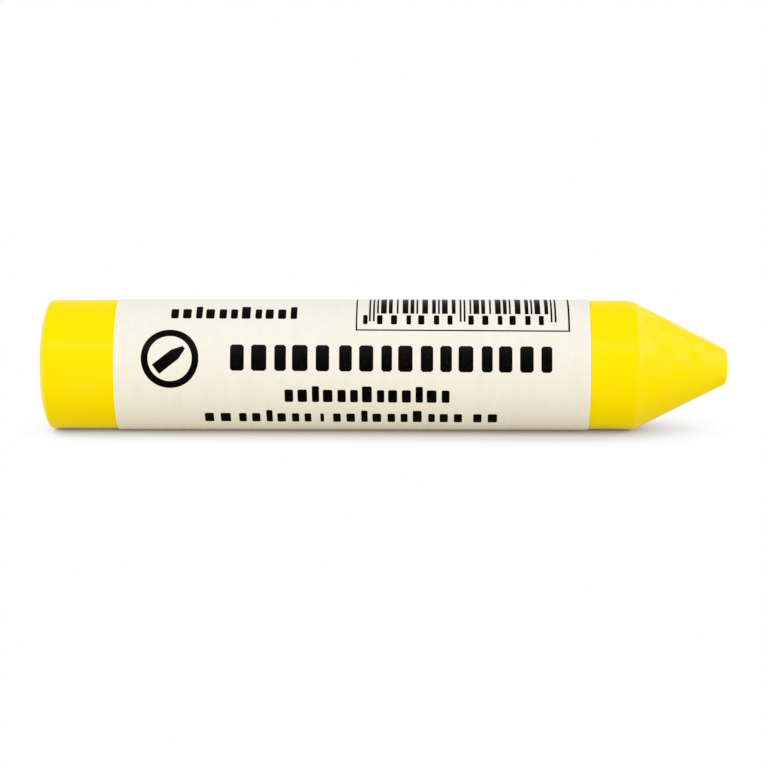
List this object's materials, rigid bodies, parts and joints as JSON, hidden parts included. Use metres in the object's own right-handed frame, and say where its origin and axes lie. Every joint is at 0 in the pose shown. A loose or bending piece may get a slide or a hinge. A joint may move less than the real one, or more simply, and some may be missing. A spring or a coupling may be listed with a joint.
{
  "type": "chalk stick",
  "caption": "Thick marking chalk stick with a cone point and a crowned butt, wrapped in a printed paper band.",
  "frame": {"origin": "centre of the flat on the butt, which the stick stands on", "axes": "+Z along the stick's axis, from the butt to the point; -Y is the way the middle of the print faces, and the paper band's lap joint is on the +Y side"},
  "size_m": [0.0176, 0.0177, 0.0928],
  "materials": {
    "yellow_chalk": "matte",
    "label_paper": "matte"
  },
  "bodies": {
    "root": {"chalk_stick": "yellow_chalk", "paper_label": "label_paper"}
  },
  "joints": []
}
